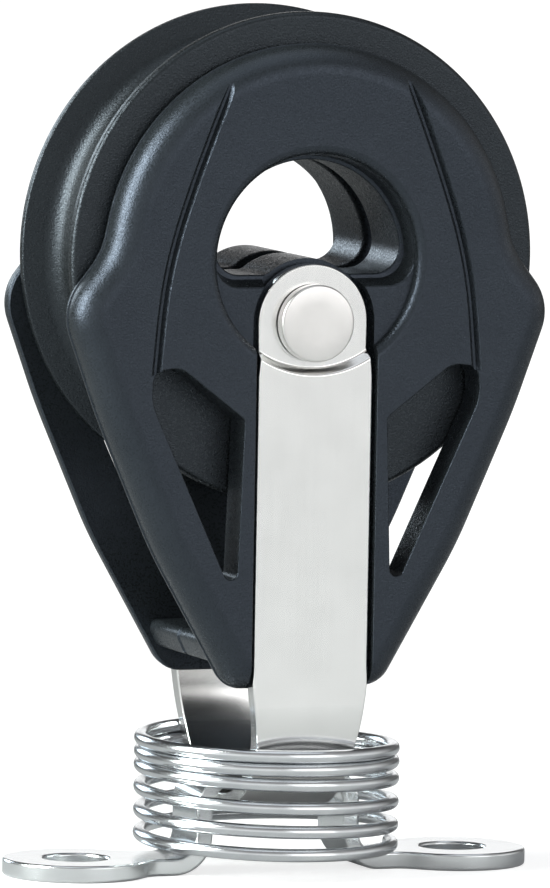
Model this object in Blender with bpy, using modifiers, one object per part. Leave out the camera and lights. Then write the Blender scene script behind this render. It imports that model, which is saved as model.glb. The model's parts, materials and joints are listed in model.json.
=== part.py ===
"""Stand-up block: a ball-bearing sailing block that a spring holds upright over its deck eye.

Metres, +Z up. The origin is under the middle of the deck eye, on the deck.
X runs along the eye's ears, Y runs along the sheave's axis, and the front is -Y.
"""

import math

import bmesh
import bpy

# Clearances
RUNNING_GAP = 0.0003        # between the sheave's sides and the cheeks
FIT_GAP = 0.0003            # round a piece that sits in a pocket
JOINT_GAP = 0.0003          # between the two moulded halves at the middle plane
RIVET_GAP = 0.0002          # round the rivet and under its heads
BALL_PLAY = 0.00012         # between a ball and its races
SEAT_GAP = 0.0003           # under the spring's bottom coil
SPRING_SIDE_GAP = 0.00045   # between the top coil and the strap's edges
BRIDGE_GAP = 0.0009         # between the strap and the underside of the eye's bridge

# Hub, ball race and sheave, from the hub hole outwards
SHEAVE_Z = 0.0505           # height of the sheave's axis above the deck
BORE_RADIUS = 0.0081
HUB_WALL = 0.00188          # between the hub hole and the bottom of the inner race
BALL_DIAMETER = 0.0040
BALL_SPACE = 0.00020        # between neighbouring balls, at least
RACE_LIP = 0.0008           # how far each race stands past the balls' inner and outer reach
SHEAVE_WALL = 0.00248       # between the outer race and the rope groove
GROOVE_DEPTH = 0.0033
SHEAVE_HALF_WIDTH = 0.0063
RIM_THICKNESS = 0.0010      # from the sheave's side to the crest of a flange
RIM_ROUND = 0.0010
SHEAVE_EDGE_CHAMFER = 0.0005
SHEAVE_STEPS = 48

# Mouth of the hub hole, and the boss and ledge in its lower part
LIP_WIDTH = 0.00056         # how much wider than the bore the mouth is
LIP_DEPTH = 0.0009          # recess of the face inside the mouth
FLARE_DEPTH = 0.0024        # depth at which the mouth has narrowed to the bore
FLARE_SHARE = 0.4           # of the flare's width that is left near its mouth
LIP_STEP = 0.00004          # between the recess and the flare
HEAD_DROP = 0.0050          # from the sheave's axis down to the rivet
BOSS_RADIUS = 0.0051
LEDGE_DROP = 0.0020         # from the sheave's axis down to the ledge beside the boss
LEDGE_INSET = 0.0006        # from the bore's side to where the ledge levels out
LEDGE_RISE = 0.0016         # above the sheave's axis, where the ledge's slope leaves the cheek
LEDGE_ROUND = 0.0016
BOSS_FILLET = 0.0008
BOSS_FILLET_ANGLE = 8       # stretch of the boss that the fillet takes, in degrees

# Cheeks, with heights measured from the sheave's axis
CHEEK_FLOOR = 0.0003        # thinnest plastic behind the strap's head
CHEEK_EDGE_ROUND = 0.0024
RIM_SHOWING = 0.0025        # sheave that shows past the cheeks' round top
TOP_ARC_START = 12          # where the round top turns out to the shoulder, in degrees above the axis
TOP_ARC_STEPS = 18
SHOULDER_ROOT_ANGLE = 2.5   # corner between the round top and the shoulder, in degrees above the axis
SHOULDER_ROOT_ROUND = 0.0062
SHOULDER_REACH = 0.0012     # corner of a shoulder past the sheave's crest, before it is rounded
SHOULDER_TIP_DROP = 0.00365
SHOULDER_ROUND = 0.0043
FLANK_TOP_INSET = 0.0032    # bend in the flank, in from the shoulder's corner
FLANK_TOP_DROP = 0.0125
FLANK_TOP_ROUND = 0.060
FLANK_MIDDLE_X = 0.0132
FLANK_MIDDLE_DROP = 0.0234
FLANK_MIDDLE_ROUND = 0.040
CHEEK_FOOT_DROP = 0.0348
CHEEK_FOOT_HALF_WIDTH = 0.0066
FOOT_ROUND = 0.0026
WINDOW_TOP = (
    (0.0142, -0.0113, 0.0040),
    (0.0141, -0.0087, 0.0011),
    (0.0118, -0.0084, 0.0020),
    (0.0062, -0.0127, 0.0006),
)
WINDOW_FOOT_X = 0.0067
WINDOW_FOOT_RISE = 0.0072   # lowest corner of a window above the cheek's foot
WINDOW_FOOT_ROUND = 0.0006
CHANNEL_RADIUS = 0.00040    # fine line pressed in the face, from the top edge to the window
CHANNEL_PATH = (
    (0.0074, 0.0148),
    (0.0105, 0.0074),
    (0.0123, 0.0025),
    (0.0133, -0.0020),
    (0.0141, -0.0090),
)
WEB_TOP_RISE = 0.0043       # web that joins the cheeks under the sheave, above their foot
WEB_BOTTOM_RISE = 0.0020
WEB_TOP_HALF_WIDTH = 0.0083
WEB_BOTTOM_HALF_WIDTH = 0.0072
WEB_ROUND = 0.0007

# Strap
STRAP_THICKNESS = 0.0014
STRAP_HALF_WIDTH = 0.00495
STRAP_RECESS = 0.0004       # strap's face below the cheek's face
STRAP_HEAD_RADIUS = 0.00472
STRAP_TO_DECK = 0.0050      # underside of the strap above the deck
STRAP_NECK_Z = 0.0110
STRAP_NECK_HALF_WIDTH = 0.0043
STRAP_BOTTOM_HALF_WIDTH = 0.0040
STRAP_SIDE_ROUND = 0.0080
STRAP_SHOULDER_ROUND = 0.0015
HEAD_STEP = 0.0008          # how far the head is pressed in
HEAD_STEP_RADIUS = 0.0073   # the step's edge is an arc
HEAD_STEP_DROP = 0.0043     # from the rivet down to the arc's lowest point

# Rivet
RIVET_SHANK_RADIUS = 0.0016
RIVET_HEAD_RADIUS = 0.00315
RIVET_HEAD_THICKNESS = 0.0010
RIVET_HEAD_CHAMFER = 0.0002

# Deck eye
EYE_THICKNESS = 0.0014
EYE_BEND_RADIUS = 0.0018
EYE_LEG_X = 0.0071          # outer face of a leg
EYE_HALF_WIDTH = 0.00295
EAR_HOLE_X = 0.0165
EAR_RADIUS = 0.0060
EAR_HOLE_RADIUS = 0.0027
EAR_BLEND_ANGLE = 45        # where the ear's round end turns into its neck, in degrees
EAR_BLEND_RADIUS = 0.0030

# Spring
WIRE_DIAMETER = 0.0010
SPRING_TURNS = 5.54
SPRING_START_ANGLE = 10     # wire's lower end, in degrees from +X towards the front
SPRING_PITCH = 0.00195
SPRING_CLOSED_SPACE = 0.0001
SPRING_POINTS_PER_TURN = 18

# Places that follow from the sizes
CHEEK_INNER_Y = SHEAVE_HALF_WIDTH + RUNNING_GAP
HEAD_BACK_Y = CHEEK_INNER_Y + CHEEK_FLOOR + FIT_GAP
HEAD_FACE_Y = HEAD_BACK_Y + STRAP_THICKNESS
STRAP_FACE_Y = HEAD_FACE_Y + HEAD_STEP
STRAP_BACK_Y = STRAP_FACE_Y - STRAP_THICKNESS
CHEEK_FACE_Y = STRAP_FACE_Y + STRAP_RECESS
CHEEK_THICKNESS = CHEEK_FACE_Y - CHEEK_INNER_Y
HEAD_Z = SHEAVE_Z - HEAD_DROP
CHEEK_FOOT_Z = SHEAVE_Z - CHEEK_FOOT_DROP
TILT_Z = STRAP_TO_DECK + STRAP_FACE_Y
EYE_TOP_Z = STRAP_TO_DECK + STRAP_THICKNESS + BRIDGE_GAP + EYE_THICKNESS
BALL_RADIUS = BALL_DIAMETER / 2
RACE_RADIUS = BALL_RADIUS + BALL_PLAY
BALL_PITCH_RADIUS = BORE_RADIUS + HUB_WALL + RACE_RADIUS
BALL_COUNT = math.floor(math.pi / math.asin((BALL_DIAMETER + BALL_SPACE) / 2 / BALL_PITCH_RADIUS))
INNER_RACE_RADIUS = BALL_PITCH_RADIUS - BALL_RADIUS + RACE_LIP
OUTER_RACE_RADIUS = BALL_PITCH_RADIUS + BALL_RADIUS - RACE_LIP
SHEAVE_TREAD_RADIUS = BALL_PITCH_RADIUS + RACE_RADIUS + SHEAVE_WALL
SHEAVE_CREST_RADIUS = SHEAVE_TREAD_RADIUS + GROOVE_DEPTH
CREST_HALF_WIDTH = SHEAVE_HALF_WIDTH - RIM_THICKNESS
CHEEK_TOP_RADIUS = SHEAVE_CREST_RADIUS - RIM_SHOWING
LIP_RADIUS = BORE_RADIUS + LIP_WIDTH
OUTSIDE = 0.0020            # how far a cutter reaches past what it cuts

MERGE = 0.00001
FLAT_ANGLE = 0.001          # faces that meet at less than this, in radians, become one
FOLD_ANGLE = 1.0            # an edge between a plate's face and its side turns more than this


def clear_scene():
    for item in list(bpy.data.objects):
        bpy.data.objects.remove(item, do_unlink=True)


def new_collection(name):
    collection = bpy.data.collections.new(name)
    bpy.context.scene.collection.children.link(collection)
    return collection


clear_scene()
PARTS = new_collection("stand_up_block")
CUTTERS = new_collection("cutters")


# Materials


def make_material(name, colour, roughness, metallic):
    material = bpy.data.materials.new(name)
    material.use_nodes = True
    shader = material.node_tree.nodes["Principled BSDF"]
    shader.inputs["Base Color"].default_value = (*colour, 1)
    shader.inputs["Roughness"].default_value = roughness
    shader.inputs["Metallic"].default_value = metallic
    material.diffuse_color = (*colour, 1)
    return material


def steel(name, roughness):
    return make_material(name, (0.72, 0.74, 0.75), roughness, 1.0)


def plastic(name, colour, roughness):
    return make_material(name, colour, roughness, 0.0)


# Outlines, as lists of points in one plane


def arc(centre_x, centre_z, radius, start, end, steps):
    """Points along an arc, its angles in degrees."""
    points = []
    for index in range(steps + 1):
        angle = math.radians(start + (end - start) * index / steps)
        points.append((centre_x + radius * math.cos(angle), centre_z + radius * math.sin(angle)))
    return points


def rounded(corners, steps=5):
    """Closed outline whose corners (x, z, radius) are rounded, and sharp where the radius is zero."""
    outline = []
    count = len(corners)
    for index, (x, z, radius) in enumerate(corners):
        before = corners[index - 1]
        after = corners[(index + 1) % count]
        if radius <= 0:
            outline.append((x, z))
            continue
        back = (before[0] - x, before[1] - z)
        ahead = (after[0] - x, after[1] - z)
        back_length = math.hypot(*back)
        ahead_length = math.hypot(*ahead)
        back = (back[0] / back_length, back[1] / back_length)
        ahead = (ahead[0] / ahead_length, ahead[1] / ahead_length)
        cosine = max(-1.0, min(1.0, back[0] * ahead[0] + back[1] * ahead[1]))
        half = math.acos(cosine) / 2
        reach = min(radius / math.tan(half), 0.49 * back_length, 0.49 * ahead_length)
        radius = reach * math.tan(half)
        middle = (back[0] + ahead[0], back[1] + ahead[1])
        middle_length = math.hypot(*middle)
        distance = radius / math.sin(half)
        centre = (x + middle[0] / middle_length * distance, z + middle[1] / middle_length * distance)
        first = math.atan2(z + back[1] * reach - centre[1], x + back[0] * reach - centre[0])
        last = math.atan2(z + ahead[1] * reach - centre[1], x + ahead[0] * reach - centre[0])
        sweep = (last - first + math.pi) % (2 * math.pi) - math.pi
        for step in range(steps + 1):
            angle = first + sweep * step / steps
            outline.append((centre[0] + radius * math.cos(angle), centre[1] + radius * math.sin(angle)))
    return outline


def mirrored(points):
    """The same points on the other side of X = 0, in reverse order."""
    return [(-x, *rest) for x, *rest in reversed(points)]


# Solids


def place(item, collection, material=None):
    collection.objects.link(item)
    if material:
        item.data.materials.append(material)
    if collection is CUTTERS:
        item.hide_render = True
        item.display_type = "WIRE"


def plain_mesh(item, collection, material=None):
    """Replace an object by its evaluated mesh, with its seams welded and its flat faces whole."""
    bpy.context.view_layer.update()
    graph = bpy.context.evaluated_depsgraph_get()
    mesh = bpy.data.meshes.new_from_object(item.evaluated_get(graph))
    work = bmesh.new()
    work.from_mesh(mesh)
    bmesh.ops.remove_doubles(work, verts=work.verts, dist=MERGE / 10)
    bmesh.ops.dissolve_limit(work, angle_limit=FLAT_ANGLE, verts=work.verts, edges=work.edges)
    work.to_mesh(mesh)
    work.free()
    name = item.name
    matrix = item.matrix_world.copy()
    bpy.data.objects.remove(item, do_unlink=True)
    solid = bpy.data.objects.new(name, mesh)
    place(solid, collection, material)
    solid.matrix_world = matrix
    return solid


def extruded(name, outline, low, high, axis, collection=CUTTERS, material=None):
    """Flat outline made solid from low to high along an axis: its plane is XZ, YZ or XY."""
    curve = bpy.data.curves.new(name, "CURVE")
    curve.dimensions = "2D"
    curve.fill_mode = "BOTH"
    curve.extrude = (high - low) / 2
    spline = curve.splines.new("POLY")
    spline.points.add(len(outline) - 1)
    for point, (across, up) in zip(spline.points, outline):
        point.co = (across, up, 0, 1)
    spline.use_cyclic_u = True
    item = bpy.data.objects.new(name, curve)
    middle = (low + high) / 2
    if axis == "Y":
        item.rotation_euler = (math.radians(90), 0, 0)
        item.location = (0, middle, 0)
    elif axis == "X":
        item.rotation_euler = (math.radians(90), 0, math.radians(90))
        item.location = (middle, 0, 0)
    else:
        item.location = (0, 0, middle)
    bpy.context.scene.collection.objects.link(item)
    return plain_mesh(item, collection, material)


def turned(name, profile, steps, height, closed=False, collection=CUTTERS, material=None):
    """Profile of (radius, y) points turned about the line along Y at a height."""
    mesh = bpy.data.meshes.new(name)
    edges = [(index, index + 1) for index in range(len(profile) - 1)]
    if closed:
        edges.append((len(profile) - 1, 0))
    mesh.from_pydata([(radius, 0, -y) for radius, y in profile], edges, [])
    item = bpy.data.objects.new(name, mesh)
    place(item, collection, material)
    item.rotation_euler = (math.radians(90), 0, 0)
    item.location = (0, 0, height)
    screw = item.modifiers.new("turn", "SCREW")
    screw.axis = "Z"
    screw.steps = steps
    screw.render_steps = steps
    screw.use_merge_vertices = True
    screw.merge_threshold = MERGE
    screw.use_smooth_shade = False
    return plain_mesh(item, CUTTERS) if collection is CUTTERS else item


def cylinder(name, radius, low, high, height, steps, across=0):
    """Cylinder along Y."""
    bpy.ops.mesh.primitive_cylinder_add(vertices=steps, radius=radius, depth=high - low)
    item = bpy.context.object
    item.name = name
    item.rotation_euler = (math.radians(90), 0, 0)
    item.location = (across, (low + high) / 2, height)
    for collection in list(item.users_collection):
        collection.objects.unlink(item)
    place(item, CUTTERS)
    return item


def combine(item, other, operation):
    modifier = item.modifiers.new(f"{operation.lower()}_{other.name}", "BOOLEAN")
    modifier.object = other
    modifier.operation = operation
    modifier.solver = "EXACT"


def shade_smooth(item, angle=35):
    item.data.shade_smooth()
    item.data.set_sharp_from_angle(angle=math.radians(angle))


def weight_face_edges(item, local_height):
    """Mark the outline edges of one flat end, so that a bevel rounds only them."""
    work = bmesh.new()
    work.from_mesh(item.data)
    weight = work.edges.layers.float.new("bevel_weight_edge")
    for edge in work.edges:
        at_face = all(abs(vertex.co.z - local_height) < MERGE for vertex in edge.verts)
        if at_face and edge.calc_face_angle(0) > FOLD_ANGLE:
            edge[weight] = 1
    work.to_mesh(item.data)
    work.free()


# Deck eye


def build_eye(material):
    """Flat bar bent into an inverted U, cut to its plan outline and drilled."""
    ear_end = EAR_HOLE_X + EAR_RADIUS + OUTSIDE
    inner_x = EYE_LEG_X - EYE_THICKNESS
    outer_bend = EYE_BEND_RADIUS + EYE_THICKNESS
    right = [
        (ear_end, 0, 0),
        (ear_end, EYE_THICKNESS, 0),
        (EYE_LEG_X, EYE_THICKNESS, EYE_BEND_RADIUS),
        (EYE_LEG_X, EYE_TOP_Z, outer_bend),
    ]
    inside = [
        (-inner_x, 0, outer_bend),
        (-inner_x, EYE_TOP_Z - EYE_THICKNESS, EYE_BEND_RADIUS),
    ]
    section = rounded(right + mirrored(right) + inside + mirrored(inside), 6)
    eye = extruded("fixed_eye", section, -2 * EAR_RADIUS, 2 * EAR_RADIUS, "Y", PARTS, material)

    blend = math.radians(EAR_BLEND_ANGLE)
    ear_side = EAR_RADIUS * math.sin(blend)
    neck_x = EAR_HOLE_X - EAR_RADIUS * math.cos(blend) - (ear_side - EYE_HALF_WIDTH) / math.tan(blend)
    end = 180 - EAR_BLEND_ANGLE
    ear = [(x, y, 0) for x, y in arc(EAR_HOLE_X, 0, EAR_RADIUS, -end, end, 20)]
    neck = [(neck_x, EYE_HALF_WIDTH, EAR_BLEND_RADIUS)]
    half = [(x, -y, radius) for x, y, radius in neck] + ear + neck
    plan = rounded(half + mirrored(half), 5)
    combine(eye, extruded("eye_plan", plan, -OUTSIDE, EYE_TOP_Z + OUTSIDE, "Z"), "INTERSECT")

    for side in (-1, 1):
        hole = arc(side * EAR_HOLE_X, 0, EAR_HOLE_RADIUS, 0, 345, 23)
        drill = extruded(f"ear_hole_{side}", hole, -OUTSIDE, EYE_THICKNESS + OUTSIDE, "Z")
        combine(eye, drill, "DIFFERENCE")
    return eye


# Spring


def spring_height(turn):
    """Height of the wire's middle after so many turns: flat at the bottom, open, closed at the top."""
    flat_until = 0.10
    open_from = 0.30
    open_until = 3.22
    closed_from = 3.62
    closed_pitch = WIRE_DIAMETER + SPRING_CLOSED_SPACE
    height = EYE_THICKNESS + SEAT_GAP + WIRE_DIAMETER / 2
    samples = 400
    step = turn / samples
    for index in range(samples):
        here = (index + 0.5) * step
        if here < open_from:
            share = max(0, (here - flat_until) / (open_from - flat_until))
            pitch = SPRING_PITCH * share
        else:
            share = min(1, max(0, (here - open_until) / (closed_from - open_until)))
            pitch = SPRING_PITCH + (closed_pitch - SPRING_PITCH) * share
        height += pitch * step
    return height


def spring_radius():
    """Radius to the wire's middle: the top coil passes just outside the strap's edges."""
    seat_z = spring_height(SPRING_TURNS) - WIRE_DIAMETER / 2
    strap_y = math.sqrt(STRAP_FACE_Y ** 2 - max(0, TILT_Z - seat_z) ** 2)
    narrowing = (STRAP_HALF_WIDTH - STRAP_NECK_HALF_WIDTH) / (CHEEK_FOOT_Z - STRAP_NECK_Z)
    strap_x = STRAP_NECK_HALF_WIDTH + narrowing * (seat_z - STRAP_NECK_Z)
    return math.hypot(strap_x, strap_y) + SPRING_SIDE_GAP + WIRE_DIAMETER / 2


def build_spring(material):
    radius = spring_radius()
    curve = bpy.data.curves.new("spring", "CURVE")
    curve.dimensions = "3D"
    curve.bevel_depth = WIRE_DIAMETER / 2
    curve.bevel_resolution = 2
    curve.use_fill_caps = True
    count = math.ceil(SPRING_TURNS * SPRING_POINTS_PER_TURN)
    spline = curve.splines.new("POLY")
    spline.points.add(count)
    for index, point in enumerate(spline.points):
        turn = SPRING_TURNS * index / count
        angle = math.radians(SPRING_START_ANGLE) + 2 * math.pi * turn
        x = radius * math.cos(angle)
        y = -radius * math.sin(angle)
        point.co = (x, y, spring_height(turn), 1)
    item = bpy.data.objects.new("spring", curve)
    curve.materials.append(material)
    PARTS.objects.link(item)
    return item


# Strap


def strap_front_outline():
    """Half-width of the strap at each height: neck, straight sides, shoulders and round head."""
    head = arc(0, HEAD_Z, STRAP_HEAD_RADIUS, 0, 90, 8)
    right = [
        (STRAP_BOTTOM_HALF_WIDTH, STRAP_TO_DECK - OUTSIDE, 0),
        (STRAP_NECK_HALF_WIDTH, STRAP_NECK_Z, STRAP_SIDE_ROUND),
        (STRAP_HALF_WIDTH, CHEEK_FOOT_Z, STRAP_SIDE_ROUND),
        (STRAP_HALF_WIDTH, HEAD_Z - HEAD_STEP_DROP, STRAP_SHOULDER_ROUND),
        (STRAP_HEAD_RADIUS, HEAD_Z - HEAD_STEP_DROP / 2, STRAP_SHOULDER_ROUND),
    ]
    right += [(x, z, 0) for x, z in head[:-1]]
    return rounded(right + [(0, HEAD_Z + STRAP_HEAD_RADIUS, 0)] + mirrored(right), 3)


def strap_side_outline():
    """Section of the bent bar in the YZ plane, thick at the heads until their fronts are pressed in."""
    top = HEAD_Z + STRAP_HEAD_RADIUS + OUTSIDE
    step_z = HEAD_Z - HEAD_STEP_DROP
    outer = arc(0, TILT_Z, STRAP_FACE_Y, 180, 360, 24)
    inner = arc(0, TILT_Z, STRAP_BACK_Y, 360, 180, 24)
    rear_head = [
        (STRAP_FACE_Y, top),
        (HEAD_BACK_Y, top),
        (HEAD_BACK_Y, step_z + HEAD_STEP / 2),
        (STRAP_BACK_Y, step_z - HEAD_STEP / 2),
    ]
    front_head = [(-y, z) for y, z in reversed(rear_head)]
    return outer + rear_head + inner + front_head


def build_strap(material):
    reach = 2 * STRAP_HALF_WIDTH
    strap = extruded("strap", strap_side_outline(), -reach, reach, "X", PARTS, material)
    outside = CHEEK_FACE_Y + OUTSIDE
    front_outline = extruded("strap_outline", strap_front_outline(), -outside, outside, "Y")
    combine(strap, front_outline, "INTERSECT")
    step_centre = HEAD_Z - HEAD_STEP_DROP + HEAD_STEP_RADIUS
    front_step = cylinder("front_head_step", HEAD_STEP_RADIUS, -outside, -HEAD_FACE_Y, step_centre, 64)
    rear_step = cylinder("rear_head_step", HEAD_STEP_RADIUS, HEAD_FACE_Y, outside, step_centre, 64)
    combine(strap, front_step, "DIFFERENCE")
    combine(strap, rear_step, "DIFFERENCE")
    bore = cylinder("strap_rivet_hole", RIVET_SHANK_RADIUS + RIVET_GAP, -outside, outside, HEAD_Z, 24)
    combine(strap, bore, "DIFFERENCE")
    return strap


def build_rivet(material):
    under = HEAD_FACE_Y + RIVET_GAP
    face = under + RIVET_HEAD_THICKNESS
    half = [
        (0, -face),
        (RIVET_HEAD_RADIUS - RIVET_HEAD_CHAMFER, -face),
        (RIVET_HEAD_RADIUS, -face + RIVET_HEAD_CHAMFER),
        (RIVET_HEAD_RADIUS, -under),
        (RIVET_SHANK_RADIUS, -under),
    ]
    profile = half + [(radius, -y) for radius, y in reversed(half)]
    return turned("head_rivet", profile, 32, HEAD_Z, collection=PARTS, material=material)


# Sheave and balls


def sheave_profile():
    """Closed section of the sheave: ball race, side, rounded rim and rope groove, then the same back."""
    groove_radius = (CREST_HALF_WIDTH ** 2 + GROOVE_DEPTH ** 2) / (2 * GROOVE_DEPTH)
    groove_centre = SHEAVE_TREAD_RADIUS + groove_radius
    mouth = math.degrees(math.acos((groove_centre - SHEAVE_CREST_RADIUS) / groove_radius))
    rim = rounded([
        (SHEAVE_CREST_RADIUS - 2 * RIM_ROUND, -SHEAVE_HALF_WIDTH, 0),
        (SHEAVE_CREST_RADIUS, -SHEAVE_HALF_WIDTH, RIM_ROUND),
        (SHEAVE_CREST_RADIUS, -CREST_HALF_WIDTH, 0),
    ], 4)
    groove = arc(groove_centre, 0, groove_radius, 180 + mouth, 180, 6)
    bore_edge = [
        (OUTER_RACE_RADIUS, -SHEAVE_HALF_WIDTH + SHEAVE_EDGE_CHAMFER),
        (OUTER_RACE_RADIUS + SHEAVE_EDGE_CHAMFER, -SHEAVE_HALF_WIDTH),
    ]
    race_angle = math.degrees(math.acos((OUTER_RACE_RADIUS - BALL_PITCH_RADIUS) / RACE_RADIUS))
    race = arc(BALL_PITCH_RADIUS, 0, RACE_RADIUS, 0, -race_angle, 4)
    half = race + bore_edge + rim + groove[1:]
    other = [(radius, -y) for radius, y in reversed(half[1:-1])]
    return half + other


def build_sheave(material):
    profile = sheave_profile()
    return turned("sheave", profile, SHEAVE_STEPS, SHEAVE_Z, True, PARTS, material)


def build_balls(material):
    carrier = bpy.data.objects.new("ball_ring", None)
    carrier.location = (0, 0, SHEAVE_Z)
    PARTS.objects.link(carrier)
    mesh = bpy.data.meshes.new("ball")
    work = bmesh.new()
    bmesh.ops.create_uvsphere(work, u_segments=10, v_segments=6, radius=BALL_RADIUS)
    work.to_mesh(mesh)
    work.free()
    mesh.materials.append(material)
    mesh.shade_smooth()
    for index in range(BALL_COUNT):
        angle = 2 * math.pi * index / BALL_COUNT
        ball = bpy.data.objects.new(f"ball_{index + 1:02d}", mesh)
        ball.parent = carrier
        ball.location = (BALL_PITCH_RADIUS * math.cos(angle), 0, BALL_PITCH_RADIUS * math.sin(angle))
        PARTS.objects.link(ball)


# Cheeks


def cheek_outline():
    """Round top, shoulders that stand out past it, and flanks that run down to a narrow foot."""
    top = [(x, z, 0) for x, z in arc(0, SHEAVE_Z, CHEEK_TOP_RADIUS, TOP_ARC_START, 90, TOP_ARC_STEPS)]
    tip_x = SHEAVE_CREST_RADIUS + SHOULDER_REACH
    root_angle = math.radians(SHOULDER_ROOT_ANGLE)
    root = CHEEK_TOP_RADIUS / math.cos(math.radians(TOP_ARC_START) - root_angle)
    right = [
        (CHEEK_FOOT_HALF_WIDTH, CHEEK_FOOT_Z, FOOT_ROUND),
        (FLANK_MIDDLE_X, SHEAVE_Z - FLANK_MIDDLE_DROP, FLANK_MIDDLE_ROUND),
        (tip_x - FLANK_TOP_INSET, SHEAVE_Z - FLANK_TOP_DROP, FLANK_TOP_ROUND),
        (tip_x, SHEAVE_Z - SHOULDER_TIP_DROP, SHOULDER_ROUND),
        (root * math.cos(root_angle), SHEAVE_Z + root * math.sin(root_angle), SHOULDER_ROOT_ROUND),
    ]
    right += top[:-1]
    return rounded(right + [top[-1]] + mirrored(right), 4)


def hub_profile():
    """Half of the hub, as a solid disc whose rim holds half of the inner ball race."""
    start = math.degrees(math.acos((BALL_PITCH_RADIUS - INNER_RACE_RADIUS) / RACE_RADIUS))
    end = math.degrees(math.asin(JOINT_GAP / 2 / RACE_RADIUS))
    race = arc(BALL_PITCH_RADIUS, 0, RACE_RADIUS, 180 + start, 180 + end, 4)
    root = -CHEEK_INNER_Y - CHEEK_THICKNESS / 2
    return [(0, root), (INNER_RACE_RADIUS, root)] + race + [(0, -JOINT_GAP / 2)]


def ledge_outline():
    """What fills the lower part of the hub hole: a ledge on either side of the rivet's round boss."""
    ledge_z = SHEAVE_Z - LEDGE_DROP
    meet = math.sqrt(BOSS_RADIUS ** 2 - (ledge_z - HEAD_Z) ** 2)
    meet_angle = math.degrees(math.atan2(ledge_z - HEAD_Z, meet))
    boss = [(x, z, 0) for x, z in arc(0, HEAD_Z, BOSS_RADIUS, meet_angle + BOSS_FILLET_ANGLE, 90, 6)]
    wide = LIP_RADIUS + OUTSIDE
    right = [
        (wide, HEAD_Z - BOSS_RADIUS - OUTSIDE, 0),
        (wide, SHEAVE_Z + LEDGE_RISE, 0),
        (BORE_RADIUS - LEDGE_INSET, ledge_z, LEDGE_ROUND),
        (meet + BOSS_FILLET / 4, ledge_z, BOSS_FILLET),
    ]
    right += boss[:-1]
    return rounded(right + [boss[-1]] + mirrored(right), 4)


def hole_cutter():
    """The hub hole: a mouth that narrows to the bore, without the ledge and the boss."""
    mouth_y = -CHEEK_FACE_Y + LIP_DEPTH
    hole = turned("hub_hole", [
        (0, mouth_y - LIP_DEPTH / 2),
        (LIP_RADIUS - LIP_STEP, mouth_y - LIP_DEPTH / 2),
        (LIP_RADIUS - LIP_STEP, mouth_y + LIP_STEP),
        (BORE_RADIUS + LIP_WIDTH * FLARE_SHARE, mouth_y + FLARE_DEPTH * (1 - FLARE_SHARE) / 2),
        (BORE_RADIUS, mouth_y + FLARE_DEPTH),
        (BORE_RADIUS, OUTSIDE),
        (0, OUTSIDE),
    ], 48, SHEAVE_Z)
    ledge = extruded("ledge", ledge_outline(), -CHEEK_FACE_Y - OUTSIDE, 2 * OUTSIDE, "Y")
    combine(hole, ledge, "DIFFERENCE")
    return hole


def strap_room():
    """Cutter for the slot that the strap lies in, with a deeper pocket for its head."""
    outside = -CHEEK_FACE_Y - OUTSIDE
    low_z = CHEEK_FOOT_Z - OUTSIDE
    half = STRAP_HALF_WIDTH + FIT_GAP
    pocket_z = HEAD_Z - HEAD_STEP_DROP - HEAD_STEP
    top_z = HEAD_Z + half + OUTSIDE
    slot_floor = -STRAP_BACK_Y + FIT_GAP
    pocket_floor = -HEAD_BACK_Y + FIT_GAP
    side = [
        (outside, low_z),
        (slot_floor, low_z),
        (slot_floor, pocket_z),
        (pocket_floor, pocket_z + pocket_floor - slot_floor),
        (pocket_floor, top_z),
        (outside, top_z),
    ]
    room = extruded("strap_room", side, -half - OUTSIDE, half + OUTSIDE, "X")
    front = [(half, low_z - OUTSIDE)] + arc(0, HEAD_Z, half, 0, 180, 16) + [(-half, low_z - OUTSIDE)]
    combine(room, extruded("strap_room_outline", front, outside - OUTSIDE, 0, "Y"), "INTERSECT")
    return room


def window_corners():
    corners = [(x, SHEAVE_Z + z, radius) for x, z, radius in WINDOW_TOP]
    return corners + [(WINDOW_FOOT_X, CHEEK_FOOT_Z + WINDOW_FOOT_RISE, WINDOW_FOOT_ROUND)]


def channel_cutter(side):
    """Round wire along the fine line in the face, which follows the rounded edge at its upper end."""
    curve = bpy.data.curves.new(f"channel_{side}", "CURVE")
    curve.dimensions = "3D"
    curve.bevel_depth = CHANNEL_RADIUS
    curve.bevel_resolution = 1
    curve.use_fill_caps = True
    spline = curve.splines.new("POLY")
    spline.points.add(len(CHANNEL_PATH) - 1)
    for point, (x, z) in zip(spline.points, CHANNEL_PATH):
        inset = CHEEK_TOP_RADIUS - math.hypot(x, z)
        over = max(0, CHEEK_EDGE_ROUND - inset) if z > 0 else 0
        fall = CHEEK_EDGE_ROUND - math.sqrt(max(0, CHEEK_EDGE_ROUND ** 2 - over ** 2))
        point.co = (side * x, -CHEEK_FACE_Y + fall, SHEAVE_Z + z, 1)
    item = bpy.data.objects.new(curve.name, curve)
    bpy.context.scene.collection.objects.link(item)
    return plain_mesh(item, CUTTERS)


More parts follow.
